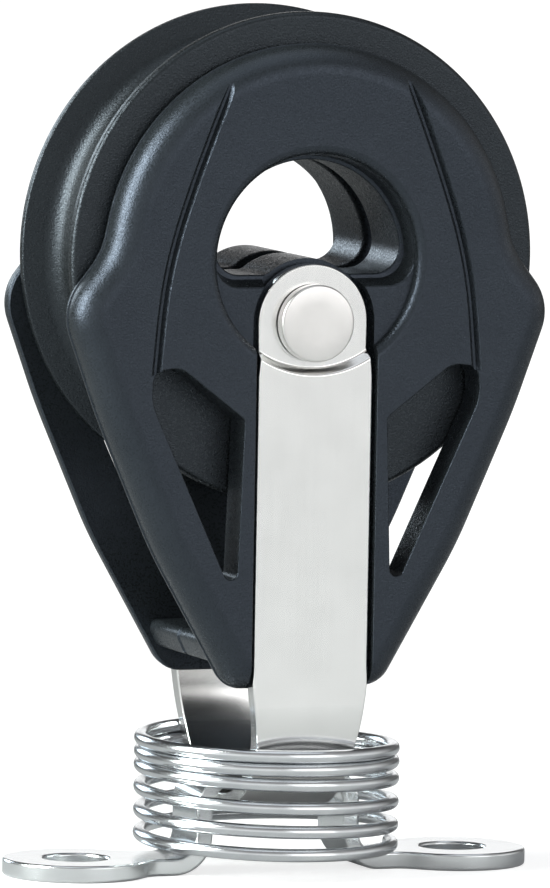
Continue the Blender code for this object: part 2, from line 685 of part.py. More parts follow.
def build_front_cheek(material):
    plate = extruded("front_cheek", cheek_outline(), -CHEEK_FACE_Y, -CHEEK_INNER_Y, "Y", PARTS, material)
    weight_face_edges(plate, CHEEK_THICKNESS / 2)
    bevel = plate.modifiers.new("rounded_face", "BEVEL")
    bevel.limit_method = "WEIGHT"
    bevel.width = CHEEK_EDGE_ROUND
    bevel.segments = 3

    combine(plate, turned("hub_half", hub_profile(), 48, SHEAVE_Z), "UNION")
    web_half = [
        (WEB_BOTTOM_HALF_WIDTH, CHEEK_FOOT_Z + WEB_BOTTOM_RISE, WEB_ROUND),
        (WEB_TOP_HALF_WIDTH, CHEEK_FOOT_Z + WEB_TOP_RISE, WEB_ROUND),
    ]
    web = rounded(web_half + mirrored(web_half), 3)
    web_root = -CHEEK_INNER_Y - CHEEK_THICKNESS / 4
    combine(plate, extruded("web", web, web_root, -JOINT_GAP / 2, "Y"), "UNION")

    outside = -CHEEK_FACE_Y - OUTSIDE
    recess = cylinder("mouth_recess", LIP_RADIUS, outside, -CHEEK_FACE_Y + LIP_DEPTH, SHEAVE_Z, 48)
    combine(plate, recess, "DIFFERENCE")
    combine(plate, hole_cutter(), "DIFFERENCE")

    combine(plate, strap_room(), "DIFFERENCE")
    bore = cylinder("cheek_rivet_hole", RIVET_SHANK_RADIUS + RIVET_GAP, outside, OUTSIDE, HEAD_Z, 24)
    combine(plate, bore, "DIFFERENCE")

    for side in (-1, 1):
        window = rounded([(side * x, z, radius) for x, z, radius in window_corners()], 3)
        cutter = extruded(f"window_{side}", window, outside, -CHEEK_INNER_Y + OUTSIDE, "Y")
        combine(plate, cutter, "DIFFERENCE")
        combine(plate, channel_cutter(side), "DIFFERENCE")
    return plate


def build_rear_cheek(front, material):
    """The front cheek's mirror image, behind the middle plane."""
    bpy.context.view_layer.update()
    graph = bpy.context.evaluated_depsgraph_get()
    mesh = bpy.data.meshes.new_from_object(front.evaluated_get(graph))
    work = bmesh.new()
    work.from_mesh(mesh)
    work.transform(front.matrix_world)
    for vertex in work.verts:
        vertex.co.y = -vertex.co.y
    bmesh.ops.reverse_faces(work, faces=work.faces)
    work.to_mesh(mesh)
    work.free()
    mesh.materials.clear()
    mesh.materials.append(material)
    rear = bpy.data.objects.new("rear_cheek", mesh)
    PARTS.objects.link(rear)
    return rear


def main():
    build_eye(steel("eye_steel", 0.35))
    build_spring(steel("spring_steel", 0.15))
    strap = build_strap(steel("strap_steel", 0.28))
    rivet = build_rivet(steel("rivet_steel", 0.30))
    cheek_plastic = plastic("cheek_plastic", (0.035, 0.041, 0.052), 0.45)
    front = build_front_cheek(cheek_plastic)
    rear = build_rear_cheek(front, plastic("rear_cheek_plastic", (0.035, 0.041, 0.052), 0.45))
    sheave = build_sheave(plastic("sheave_plastic", (0.030, 0.033, 0.036), 0.50))
    build_balls(plastic("ball_plastic", (0.80, 0.79, 0.75), 0.35))
    for item in (strap, rivet, front, rear, sheave):
        shade_smooth(item)


main()
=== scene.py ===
"""Looks of the stand-up block: finer pieces, materials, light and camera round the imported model.

Metres, +Z up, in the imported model's frame. X runs along the deck eye's ears and the front is -Y.
An outline is a list of points in one plane, (x, z) if not said otherwise. A corner is a point with
the radius of its rounding added.
"""

import json
import math

import bmesh
import bpy
from mathutils import Matrix, Vector

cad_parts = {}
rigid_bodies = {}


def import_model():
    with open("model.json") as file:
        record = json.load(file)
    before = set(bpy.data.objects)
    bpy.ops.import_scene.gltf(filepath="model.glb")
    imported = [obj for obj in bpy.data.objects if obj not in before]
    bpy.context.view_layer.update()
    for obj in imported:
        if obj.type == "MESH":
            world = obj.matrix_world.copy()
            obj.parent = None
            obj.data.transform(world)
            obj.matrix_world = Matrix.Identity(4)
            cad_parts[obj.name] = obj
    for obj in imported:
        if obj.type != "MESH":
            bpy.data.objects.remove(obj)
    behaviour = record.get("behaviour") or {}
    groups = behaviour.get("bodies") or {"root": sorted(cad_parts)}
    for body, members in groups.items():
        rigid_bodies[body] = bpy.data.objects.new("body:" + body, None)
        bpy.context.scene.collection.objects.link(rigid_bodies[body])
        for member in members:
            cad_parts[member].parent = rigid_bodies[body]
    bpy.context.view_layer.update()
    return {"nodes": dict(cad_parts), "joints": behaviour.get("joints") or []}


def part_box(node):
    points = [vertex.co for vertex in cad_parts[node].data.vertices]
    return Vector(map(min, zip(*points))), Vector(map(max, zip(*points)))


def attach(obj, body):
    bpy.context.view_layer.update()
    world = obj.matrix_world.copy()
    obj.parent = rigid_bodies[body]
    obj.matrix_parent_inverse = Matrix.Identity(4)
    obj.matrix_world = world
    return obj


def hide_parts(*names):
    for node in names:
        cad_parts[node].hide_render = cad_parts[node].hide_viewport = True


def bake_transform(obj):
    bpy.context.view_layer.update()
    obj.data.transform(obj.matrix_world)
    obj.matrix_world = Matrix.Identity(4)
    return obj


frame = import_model()

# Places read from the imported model
JOINTS = {joint["name"]: joint for joint in frame["joints"]}
CHEEK_LOW, CHEEK_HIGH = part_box("front_cheek")
SHEAVE_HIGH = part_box("sheave")[1]
STRAP_LOW, STRAP_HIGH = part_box("strap")
RIVET_LOW, RIVET_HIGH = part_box("head_rivet")
EYE_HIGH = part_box("fixed_eye")[1]
SPRING_LOW, SPRING_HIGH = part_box("spring")

SHEAVE_Z = JOINTS["sheave_spin"]["pos_m"][2]
TILT_Z = JOINTS["block_tilt"]["pos_m"][2]
CHEEK_FACE_Y = -CHEEK_LOW[1]
CHEEK_FOOT_Z = CHEEK_LOW[2]
CHEEK_TOP_RADIUS = CHEEK_HIGH[2] - SHEAVE_Z
SHEAVE_HALF_WIDTH = SHEAVE_HIGH[1]
SHEAVE_CREST_RADIUS = SHEAVE_HIGH[2] - SHEAVE_Z
STRAP_FACE_Y = -STRAP_LOW[1]
STRAP_UNDER_Z = STRAP_LOW[2]
STRAP_HALF_WIDTH = STRAP_HIGH[0]
HEAD_Z = (RIVET_LOW[2] + RIVET_HIGH[2]) / 2
STRAP_HEAD_RADIUS = STRAP_HIGH[2] - HEAD_Z
RIVET_FACE_Y = -RIVET_LOW[1]
RIVET_HEAD_RADIUS = (RIVET_HIGH[2] - RIVET_LOW[2]) / 2
EYE_TOP_Z = EYE_HIGH[2]
EYE_END_X = EYE_HIGH[0]
EAR_RADIUS = EYE_HIGH[1]
SPRING_BOTTOM_Z = SPRING_LOW[2]

# Cheek plate
CHEEK_INNER_Y = 0.0066
CHEEK_EDGE_ROUND = 0.0024
TOP_ARC_START = 12
SHOULDER_ROOT_ANGLE = 2.5
SHOULDER_ROOT_ROUND = 0.0062
SHOULDER_REACH = 0.0012
SHOULDER_TIP_DROP = 0.00365
SHOULDER_ROUND = 0.0043
FLANK_TOP = (0.0032, 0.0125, 0.060)         # in from the shoulder's tip, down from the sheave's middle
FLANK_MIDDLE = (0.0132, 0.0234, 0.040)      # from the middle line, down from the sheave's middle
CHEEK_FOOT_HALF_WIDTH = 0.0066
FOOT_ROUND = 0.0026
BACK_CHAMFER = 0.00015
PARTING_Y = 0.00695
PARTING_STEP = 0.00008
PARTING_PROFILE = ((0, 0), (0.4, 0.4), (1.8, 0.9), (1.0, 2.2))      # inset and rise, in steps

# Hub and its hole
HUB_RADIUS = 0.0109
HUB_ROOT = 0.0016           # how far the hub reaches into the plate
JOINT_GAP = 0.0003
JOINT_ROUND = 0.00110
BORE_RADIUS = 0.0081
BORE_LEDGE_DROP = 0.0012
BORE_STEP_RADIUS = 0.00842
BORE_STEP_DEPTH = 0.0017
BORE_STEP_ROUND = 0.00018
LIP_RADIUS = 0.00866
LIP_DEPTH = 0.0010
MOUTH_ROUND = 0.00085
MOUTH_LEDGE_DROP = 0.0020
LEDGE_ROUND = 0.0022
LEDGE_EDGE_ROUND = 0.00030
BOSS_RADIUS = 0.0051
BOSS_FILLET = 0.0010

# Windows, channels, strap slot and web
WINDOW_TOP = (
    (0.0142, -0.0113, 0.0040),
    (0.0141, -0.0087, 0.0011),
    (0.0118, -0.0084, 0.0020),
    (0.0062, -0.0127, 0.0006),
)
WINDOW_FOOT = (0.0067, 0.0072, 0.0006)
WINDOW_EDGE_ROUND = 0.00015
SLOT_EDGE_ROUND = 0.00012
CHANNEL_PATH = (
    (0.0067, 0.0170),
    (0.0092, 0.0108),
    (0.0110, 0.0060),
    (0.0124, 0.0016),
    (0.0133, -0.0028),
    (0.0139, -0.0090),
)
CHANNEL_STEPS = 40
CHANNEL_HALF_WIDTH = 0.00038
CHANNEL_FLOOR_HALF_WIDTH = 0.00010
CHANNEL_DEPTH = 0.00045
CHANNEL_LIP = 0.00012
CHANNEL_LIP_PROFILE = ((0.4, 0.2), (0, 0.8))        # across and down, in lips
WEB_TOP_RISE = 0.0043
WEB_BOTTOM_RISE = 0.0020
WEB_TOP_HALF_WIDTH = 0.0083
WEB_BOTTOM_HALF_WIDTH = 0.0072
WEB_ROUND = 0.0007
WEB_BEVEL = 0.0002
WEB_ROOT = 0.0008           # how far the web reaches into the plate

# Strap and rivet
STRAP_THICKNESS = 0.0014
STRAP_NECK_Z = 0.0110
STRAP_NECK_HALF_WIDTH = 0.0043
STRAP_NECK_ROUND = 0.008
STRAP_BOTTOM_HALF_WIDTH = 0.0040
STRAP_EDGE_ROUND = 0.00013
HEAD_STEP = 0.0008                  # how far the head is sunk
HEAD_STEP_DROP = 0.0043             # how far the bend behind the head is below the rivet
HEAD_SIDE_ROUND = 0.0015
HEAD_ARC_RADIUS = 0.0085            # the curved step across the strap's face
HEAD_ARC_DROP = 0.0037
HEAD_ARC_SLOPE = 0.0005
FIT_GAP = 0.0003
STRAP_BACK_Y = STRAP_FACE_Y - STRAP_THICKNESS
HEAD_BACK_Y = STRAP_BACK_Y - HEAD_STEP
RIVET_SHANK_RADIUS = 0.0016
RIVET_GAP = 0.0002
RIVET_EDGE_ROUND = 0.00022

# Sheave: the groove's corner and flank are (radius, y, rounding)
OUTER_RACE_RADIUS = 0.0133
RIM_THICKNESS = 0.0010
RACE_EDGE_ROUND = 0.0005
CREST_OUTER_ROUND = 0.00055
CREST_INNER_ROUND = 0.00022
GROOVE_CORNER = (0.0173, -0.0043, 0.0022)
GROOVE_FLANK = (0.01685, -0.0020, 0.0060)
SHEAVE_TREAD_RADIUS = 0.0167
SHEAVE_STEPS = 224

# Deck eye
EYE_THICKNESS = 0.0014
EYE_BEND_RADIUS = 0.0018
EYE_LEG_X = 0.0071
EYE_HALF_WIDTH = 0.00295
EYE_EDGE_ROUND = 0.00022
EAR_HOLE_RADIUS = 0.0027
EAR_HOLE_X = EYE_END_X - EAR_RADIUS
EAR_NECK_ANGLE = 45
EAR_NECK_ROUND = 0.003

# Spring: its pitch grows from a flat bottom end, and shrinks where the top coils close
WIRE_DIAMETER = 0.0011
WIRE_SIDES = 20
SPRING_RADIUS = (SPRING_HIGH[0] - SPRING_LOW[0] - WIRE_DIAMETER) / 2
SPRING_TURNS = 5.72
SPRING_STEPS_PER_TURN = 72
SPRING_START_ANGLE = 10
SPRING_FLAT_TURNS = 0.10
SPRING_OPENING_TURNS = 0.20
SPRING_PITCH = 0.00190
SPRING_CLOSING_TURN = 3.22
SPRING_CLOSING_TURNS = 0.40
SPRING_CLOSED_PITCH = 0.0011

# Modelling allowances
OUTSIDE = 0.0020            # how far a cutter reaches past what it cuts
TINY = 0.00002              # keeps two faces from lying in one plane
FLARE_MARGIN = 0.05         # how much wider a cutter's mouth is than the rounded edge it leaves
STEP_MARGIN = 0.1           # how far below its corner the bore's rounded step starts, in roundings
LONGEST_REACH = 0.49        # share of a side that the rounding of one corner can take
LEAST_NORMAL = 0.5          # keeps a grown outline's sharp corners near
MERGE = 0.00001
FINE_MERGE = 0.000002
FLAT_ANGLE = 0.001
SHARP_ANGLE = 38
CURVED_SHARP_ANGLE = 50
SPRING_SHARP_ANGLE = 60
BEVEL_ANGLE = 50

# Plastic: scales of the cloudy colour, the speckled gloss and the two grains
CLOUD_SCALE = 260
SPECKLE_SCALE = 5500
GRAIN_SCALE = 7000
COARSE_GRAIN_SCALE = 1700
COARSE_GRAIN_SHARE = 0.2
GRAIN_DEPTH = 0.00005

# Steel: scales of the polishing lines and of the cloudy colour
LINE_SCALE = 3000
STEEL_CLOUD_SCALE = 300
LINE_DEPTH = 0.00001
LINE_ROUGHNESS = 0.01
NOISE_LOW = 0.3
NOISE_HIGH = 0.7

# World: brightest low down in front, dimmer overhead and behind
WORLD_LOW_EDGE = 0.25
WORLD_HIGH_EDGE = 0.60
WORLD_OVERHEAD = 0.35
WORLD_FRONT_EDGE = -0.2
WORLD_REAR_EDGE = 0.5
WORLD_REAR = 0.15

# Floor: behind the block it throws less light back, and the camera sees it glow up to white
FLOOR_HALF_SIZE = 3
FLOOR_BRIGHT = (0.61, 0.61, 0.61)
FLOOR_DIM = (0.16, 0.16, 0.16)
FLOOR_BRIGHT_Y = -0.08
FLOOR_DIM_Y = 0.15
FLOOR_ROUGHNESS = 0.9
GLOW_NEAR = 0.74
GLOW_FAR = 1.0
GLOW_NEAR_DISTANCE = 0.07
GLOW_FAR_DISTANCE = 0.25

# Lamps: name, place, width, height, watts and colour
LIGHT_TARGET = (0, 0, 0.04)
LIGHTS = (
    ("left_softbox", (-0.80, 0.02, 0.40), 0.46, 0.70, 18.5, (0.93, 0.98, 0.95)),
    ("rear_left_softbox", (-0.30, 1.05, 0.34), 0.45, 0.40, 2.6, (0.80, 0.92, 1)),
    ("rear_right_softbox", (0.58, 1.45, 0.22), 0.7, 0.42, 1.0, (1, 1, 1)),
    ("top_softbox", (0.05, 0.0, 0.9), 0.8, 0.8, 1.5, (0.85, 0.92, 1)),
    ("front_softbox", (0.45, -1.1, 0.35), 0.9, 0.9, 2.5, (1, 1, 1)),
)

# Photograph: 550 x 888 pixels, seen from 21.5 degrees to the left of the front
IMAGE_HEIGHT_PX = 888
FOCAL_LENGTH_PX = 12350
CAMERA_AZIMUTH = 21.5
CAMERA_ELEVATION = 5.3
CAMERA_ROLL = 1.0
CAMERA_DISTANCE = 1.0
CAMERA_TARGET = (0, -0.00565, 0.0505)
TARGET_OFFSET = (0.002096, 0.01506)         # from the picture's middle, to the right and up
SENSOR_HEIGHT_MM = 24
CLIP_START = 0.05
CLIP_END = 20


def make_collection(name):
    collection = bpy.data.collections.new(name)
    bpy.context.scene.collection.children.link(collection)
    return collection


LOOKS = make_collection("looks")
CUTTERS = make_collection("cutters")


# Outlines


def arc(centre_x, centre_z, radius, start, end, steps):
    points = []
    for index in range(steps + 1):
        angle = math.radians(start + (end - start) * index / steps)
        points.append((centre_x + radius * math.cos(angle), centre_z + radius * math.sin(angle)))
    return points


def circle(centre_x, centre_z, radius, count):
    return arc(centre_x, centre_z, radius, 0, 360 - 360 / count, count - 1)


def quarter(steps):
    """Angles from 0 to 90 degrees, in radians."""
    return [math.pi / 2 * index / steps for index in range(steps + 1)]


def rounded(corners, steps=8):
    """Closed outline whose corners are rounded, and sharp where the radius is zero."""
    outline = []
    count = len(corners)
    for index, (x, z, radius) in enumerate(corners):
        corner = Vector((x, z))
        before = Vector(corners[index - 1][:2]) - corner
        after = Vector(corners[(index + 1) % count][:2]) - corner
        if radius <= 0:
            outline.append((x, z))
            continue
        half = before.angle(after) / 2
        room = LONGEST_REACH * min(before.length, after.length)
        reach = min(radius / math.tan(half), room)
        radius = reach * math.tan(half)
        inward = (before.normalized() + after.normalized()).normalized()
        centre = corner + inward * (radius / math.sin(half))
        first = corner + before.normalized() * reach - centre
        last = corner + after.normalized() * reach - centre
        start = math.atan2(first.y, first.x)
        sweep = (math.atan2(last.y, last.x) - start + math.pi) % (2 * math.pi) - math.pi
        for step in range(steps + 1):
            angle = start + sweep * step / steps
            outline.append((centre.x + radius * math.cos(angle), centre.y + radius * math.sin(angle)))
    return outline


def mirrored(points):
    return [(-x, *rest) for x, *rest in reversed(points)]


def area(outline):
    total = 0
    for (x0, z0), (x1, z1) in zip(outline, outline[1:] + outline[:1]):
        total += x0 * z1 - x1 * z0
    return total / 2


def grown(outline, distance):
    """The outline moved outwards by a distance, or inwards where it is negative."""
    sign = 1 if area(outline) > 0 else -1
    moved = []
    count = len(outline)
    for index, point in enumerate(outline):
        here = Vector(point)
        back = (here - Vector(outline[index - 1])).normalized()
        ahead = (Vector(outline[(index + 1) % count]) - here).normalized()
        normal = Vector((back.y + ahead.y, -back.x - ahead.x)).normalized() * sign
        stretch = max(LEAST_NORMAL, normal.dot(Vector((ahead.y, -ahead.x)) * sign))
        moved.append(tuple(here + normal * distance / stretch))
    return moved


def sections(outline, pairs):
    """One ring for each (growth, y) pair: the grown outline at that depth."""
    return [[(x, y, z) for x, z in grown(outline, growth)] for growth, y in pairs]


def smooth_path(points, count):
    """Points on a smooth curve through the given ones, evenly shared out between them."""
    made = []
    last = len(points) - 1
    for index in range(count + 1):
        place = last * index / count
        left = min(int(place), last - 1)
        share = place - left
        before = Vector(points[max(left - 1, 0)])
        start = Vector(points[left])
        end = Vector(points[left + 1])
        after = Vector(points[min(left + 2, last)])
        linear = (end - before) * share
        square = (2 * before - 5 * start + 4 * end - after) * share ** 2
        cubic = (3 * start - before - 3 * end + after) * share ** 3
        made.append((2 * start + linear + square + cubic) / 2)
    return made


# Solids


def loft(name, rings, collection=LOOKS):
    """Closed solid through rings of (x, y, z) points that match one another."""
    mesh = bpy.data.meshes.new(name)
    work = bmesh.new()
    made = [[work.verts.new(point) for point in ring] for ring in rings]
    count = len(made[0])
    for low, high in zip(made, made[1:]):
        for index in range(count):
            after = (index + 1) % count
            work.faces.new((low[index], low[after], high[after], high[index]))
    work.faces.new(list(reversed(made[0])))
    work.faces.new(made[-1])
    bmesh.ops.recalc_face_normals(work, faces=work.faces)
    work.to_mesh(mesh)
    work.free()
    return add(name, mesh, collection)


def prism(name, outline, low, high, axis, collection=CUTTERS):
    """Flat outline made solid from low to high: its plane is XZ, YZ or XY."""
    places = {
        "Y": lambda a, b, c: (a, c, b),
        "X": lambda a, b, c: (c, a, b),
        "Z": lambda a, b, c: (a, b, c),
    }
    rings = [[places[axis](a, b, level) for a, b in outline] for level in (low, high)]
    return loft(name, rings, collection)


def lathe(name, profile, steps, height, closed=False, collection=LOOKS):
    """Profile of (radius, y) points turned about the line along Y at a height."""
    mesh = bpy.data.meshes.new(name)
    work = bmesh.new()
    points = [work.verts.new((radius, y, 0)) for radius, y in profile]
    edges = [work.edges.new(pair) for pair in zip(points, points[1:])]
    if closed:
        edges.append(work.edges.new((points[-1], points[0])))
    bmesh.ops.spin(
        work, geom=points + edges, cent=(0, 0, 0), axis=(0, 1, 0), angle=2 * math.pi, steps=steps,
        use_merge=True,
    )
    bmesh.ops.remove_doubles(work, verts=work.verts, dist=MERGE / 10)
    bmesh.ops.recalc_face_normals(work, faces=work.faces)
    if collection is CUTTERS:
        bmesh.ops.dissolve_limit(work, angle_limit=FLAT_ANGLE, verts=work.verts, edges=work.edges)
    bmesh.ops.translate(work, verts=work.verts, vec=(0, 0, height))
    work.to_mesh(mesh)
    work.free()
    return add(name, mesh, collection)


def add(name, mesh, collection=LOOKS):
    item = bpy.data.objects.new(name, mesh)
    collection.objects.link(item)
    return item


def combine(item, other, operation):
    modifier = item.modifiers.new(f"{operation.lower()}_{other.name}", "BOOLEAN")
    modifier.object = other
    modifier.operation = operation
    modifier.solver = "EXACT"


def applied(item):
    """Bake the modifiers into the mesh."""
    bpy.context.view_layer.update()
    graph = bpy.context.evaluated_depsgraph_get()
    mesh = bpy.data.meshes.new_from_object(item.evaluated_get(graph))
    item.modifiers.clear()
    item.data = mesh
    return item


def weld(item):
    """Join points that the booleans leave almost on one another."""
    work = bmesh.new()
    work.from_mesh(item.data)
    bmesh.ops.remove_doubles(work, verts=work.verts, dist=FINE_MERGE)
    bmesh.ops.dissolve_degenerate(work, edges=work.edges, dist=FINE_MERGE)
    work.to_mesh(item.data)
    work.free()


def soften_edges(item, width):
    bevel = item.modifiers.new("soft_edges", "BEVEL")
    bevel.limit_method = "ANGLE"
    bevel.angle_limit = math.radians(BEVEL_ANGLE)
    bevel.width = width
    bevel.segments = 3
    bevel.use_clamp_overlap = False
    bevel.loop_slide = False


def smooth(item, angle=SHARP_ANGLE):
    """Round shading across the small steps of a curve, with flat faces kept flat."""
    item.data.shade_smooth()
    item.data.set_sharp_from_angle(angle=math.radians(angle))
    weighted = item.modifiers.new("flat_faces", "WEIGHTED_NORMAL")
    weighted.keep_sharp = True
    weighted.weight = 80


def flared_cutter(name, outline, radius, face_y, end_y):
    """Cutter from the face at face_y to end_y, whose flared mouth leaves a rounded edge."""
    wide = radius * (1 + FLARE_MARGIN)
    pairs = [(wide, face_y - OUTSIDE), (wide, face_y - TINY)]
    for angle in quarter(5)[1:]:
        pairs.append((radius * (1 - math.sin(angle)), face_y + radius * (1 - math.cos(angle))))
    pairs.append((0, end_y))
    return loft(name, sections(outline, pairs), CUTTERS)


def finish_piece(item, body, node, slot_name):
    wear(item, slot_name)
    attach(item, body)
    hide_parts(node)


def wear(item, slot_name):
    item.data.materials.clear()
    item.data.materials.append(MATERIALS[slot_name])


# Cheeks


def cheek_outline():
    top = [(x, z, 0) for x, z in arc(0, SHEAVE_Z, CHEEK_TOP_RADIUS, TOP_ARC_START, 90, 40)]
    tip_x = SHEAVE_CREST_RADIUS + SHOULDER_REACH
    root_angle = math.radians(SHOULDER_ROOT_ANGLE)
    root = CHEEK_TOP_RADIUS / math.cos(math.radians(TOP_ARC_START) - root_angle)
    right = [
        (CHEEK_FOOT_HALF_WIDTH, CHEEK_FOOT_Z, FOOT_ROUND),
        (FLANK_MIDDLE[0], SHEAVE_Z - FLANK_MIDDLE[1], FLANK_MIDDLE[2]),
        (tip_x - FLANK_TOP[0], SHEAVE_Z - FLANK_TOP[1], FLANK_TOP[2]),
        (tip_x, SHEAVE_Z - SHOULDER_TIP_DROP, SHOULDER_ROUND),
        (root * math.cos(root_angle), SHEAVE_Z + root * math.sin(root_angle), SHOULDER_ROOT_ROUND),
    ]
    right += top[:-1]
    return rounded(right + [top[-1]] + mirrored(right), 12)


def cheek_plate():
    """Plate with a small step along its side, where the mould halves meet, and a round outer edge."""
    pairs = [
        (-BACK_CHAMFER, -CHEEK_INNER_Y),
        (0, -CHEEK_INNER_Y - BACK_CHAMFER),
    ]
    for inset, rise in PARTING_PROFILE:
        pairs.append((-PARTING_STEP * inset, -PARTING_Y - PARTING_STEP * rise))
    round_start = CHEEK_FACE_Y - CHEEK_EDGE_ROUND
    for angle in quarter(12):
        inset = PARTING_STEP + (CHEEK_EDGE_ROUND - PARTING_STEP) * (1 - math.cos(angle))
        pairs.append((-inset, -round_start - CHEEK_EDGE_ROUND * math.sin(angle)))
    return loft("front_cheek_shell", sections(cheek_outline(), pairs))


def hub_half():
    root = -CHEEK_INNER_Y - HUB_ROOT
    edge = -JOINT_GAP / 2
    profile = [(0, root), (HUB_RADIUS, root), (HUB_RADIUS, edge), (0, edge)]
    return lathe("hub_half", profile, 128, SHEAVE_Z, collection=CUTTERS)


def web():
    """Half of the bar that joins the cheeks below the sheave."""
    half = [
        (WEB_BOTTOM_HALF_WIDTH, CHEEK_FOOT_Z + WEB_BOTTOM_RISE, WEB_ROUND),
        (WEB_TOP_HALF_WIDTH, CHEEK_FOOT_Z + WEB_TOP_RISE, WEB_ROUND),
    ]
    edge = -JOINT_GAP / 2
    pairs = ((0, -CHEEK_INNER_Y - WEB_ROOT), (0, edge - WEB_BEVEL), (-WEB_BEVEL, edge))
    return loft("web", sections(rounded(half + mirrored(half), 8), pairs), CUTTERS)


def mouth_cutter():
    outline = circle(0, SHEAVE_Z, LIP_RADIUS, 144)
    return flared_cutter("mouth", outline, MOUTH_ROUND, -CHEEK_FACE_Y, -CHEEK_FACE_Y + LIP_DEPTH)


def hole_ring(radius, drop, y, growth=0):
    """Section of the hub hole: round above, with a ledge on either side of the rivet's boss below."""
    ledge_z = SHEAVE_Z - drop
    corner_z = ledge_z + LEDGE_ROUND
    corner_x = math.sqrt((radius - LEDGE_ROUND) ** 2 - (corner_z - SHEAVE_Z) ** 2)
    wall_angle = math.degrees(math.atan2(corner_z - SHEAVE_Z, corner_x))
    fillet_z = ledge_z + BOSS_FILLET
    fillet_x = math.sqrt((BOSS_RADIUS + BOSS_FILLET) ** 2 - (fillet_z - HEAD_Z) ** 2)
    boss_angle = math.degrees(math.atan2(fillet_z - HEAD_Z, fillet_x))
    right = arc(0, HEAD_Z, BOSS_RADIUS, 90, boss_angle, 16)
    right += arc(fillet_x, fillet_z, BOSS_FILLET, boss_angle + 180, 270, 8)[1:]
    right += arc(corner_x, corner_z, LEDGE_ROUND, 270, 360 + wall_angle, 14)
    right += arc(0, SHEAVE_Z, radius, wall_angle, 90, 60)[1:-1]
    outline = right + [(0, SHEAVE_Z + radius)] + mirrored(right[1:])
    return [(x, y, z) for x, z in grown(outline, growth)]


def hole_cutter():
    """The hub hole: it steps in below the mouth, and its edge is round where the halves meet."""
    mouth_y = -CHEEK_FACE_Y + LIP_DEPTH
    wide = LIP_RADIUS - TINY * 2
    rings = [hole_ring(wide, MOUTH_LEDGE_DROP + LEDGE_EDGE_ROUND, mouth_y - LIP_DEPTH / 2)]
    for angle in quarter(4):
        drop = MOUTH_LEDGE_DROP + LEDGE_EDGE_ROUND * (1 - math.sin(angle))
        y = mouth_y + TINY + LEDGE_EDGE_ROUND * (1 - math.cos(angle))
        rings.append(hole_ring(wide, drop, y))

    step_y = mouth_y + BORE_STEP_DEPTH
    rings.append(hole_ring(BORE_STEP_RADIUS, BORE_LEDGE_DROP + 2 * BORE_STEP_ROUND, step_y))
    for angle in quarter(5):
        away = BORE_STEP_ROUND * (1 - math.sin(angle))
        y = step_y + BORE_STEP_ROUND * (1 + STEP_MARGIN - math.cos(angle))
        rings.append(hole_ring(BORE_RADIUS + away, BORE_LEDGE_DROP + away, y))

    joint_y = -JOINT_GAP / 2
    for angle in quarter(8):
        growth = JOINT_ROUND * (1 - math.cos(angle))
        y = joint_y - JOINT_ROUND * (1 - math.sin(angle))
        rings.append(hole_ring(BORE_RADIUS, BORE_LEDGE_DROP, y, growth))
    rings.append(hole_ring(BORE_RADIUS, BORE_LEDGE_DROP, OUTSIDE, JOINT_ROUND))
    return loft("hub_hole", rings, CUTTERS)


def rivet_bore_cutter(name, low, high):
    outline = circle(0, HEAD_Z, RIVET_SHANK_RADIUS + RIVET_GAP, 36)
    return prism(name, outline, low, high, "Y")


def strap_room():
    """Slot that the strap lies in, with a deeper pocket for its head."""
    outside = -CHEEK_FACE_Y - OUTSIDE
    low_z = CHEEK_FOOT_Z - OUTSIDE
    half = STRAP_HALF_WIDTH + FIT_GAP
    pocket_z = HEAD_Z - HEAD_STEP_DROP - HEAD_STEP
    top_z = HEAD_Z + half + OUTSIDE
    slot_floor = -STRAP_BACK_Y + FIT_GAP
    pocket_floor = -HEAD_BACK_Y + FIT_GAP
    side = [
        (outside, low_z),
        (slot_floor, low_z),
        (slot_floor, pocket_z),
        (pocket_floor, pocket_z + pocket_floor - slot_floor),
        (pocket_floor, top_z),
        (outside, top_z),
    ]
    room = prism("strap_room", side, -half - OUTSIDE, half + OUTSIDE, "X")
    foot_z = low_z - OUTSIDE
    front = [(half, foot_z)] + arc(0, HEAD_Z, half, 0, 180, 48) + [(-half, foot_z)]
    around = flared_cutter("strap_room_outline", front, SLOT_EDGE_ROUND, -CHEEK_FACE_Y, 0)
    combine(room, around, "INTERSECT")
    return applied(room)


def window_cutter(side):
    corners = [(side * x, SHEAVE_Z + z, radius) for x, z, radius in WINDOW_TOP]
    x, rise, radius = WINDOW_FOOT
    corners.append((side * x, CHEEK_FOOT_Z + rise, radius))
    return flared_cutter(
        f"window_{side}", rounded(corners, 8), WINDOW_EDGE_ROUND, -CHEEK_FACE_Y,
        -CHEEK_INNER_Y + OUTSIDE,
    )


def channel_cutter(side):
    """Shallow channel across the face. It runs out where the plate's edge falls below its floor."""
    path = smooth_path([(side * x, SHEAVE_Z + z) for x, z in CHANNEL_PATH], CHANNEL_STEPS)
    face = -CHEEK_FACE_Y
    lip = CHANNEL_LIP
    section = [
        (CHANNEL_HALF_WIDTH + lip, face - OUTSIDE),
        (CHANNEL_HALF_WIDTH + lip, face - TINY),
    ]
    for across, down in CHANNEL_LIP_PROFILE:
        section.append((CHANNEL_HALF_WIDTH + lip * across, face + lip * down))
    section.append((CHANNEL_FLOOR_HALF_WIDTH, face + CHANNEL_DEPTH))
    section += [(-across, y) for across, y in reversed(section)]
    rings = []
    for index, point in enumerate(path):
        before = path[max(index - 1, 0)]
        after = path[min(index + 1, len(path) - 1)]
        along = (after - before).normalized()
        aside = Vector((along.y, -along.x))
        ring = []
        for across, y in section:
            place = point + aside * across
            ring.append((place.x, y, place.y))
        rings.append(ring)
    return loft(f"channel_{side}", rings, CUTTERS)


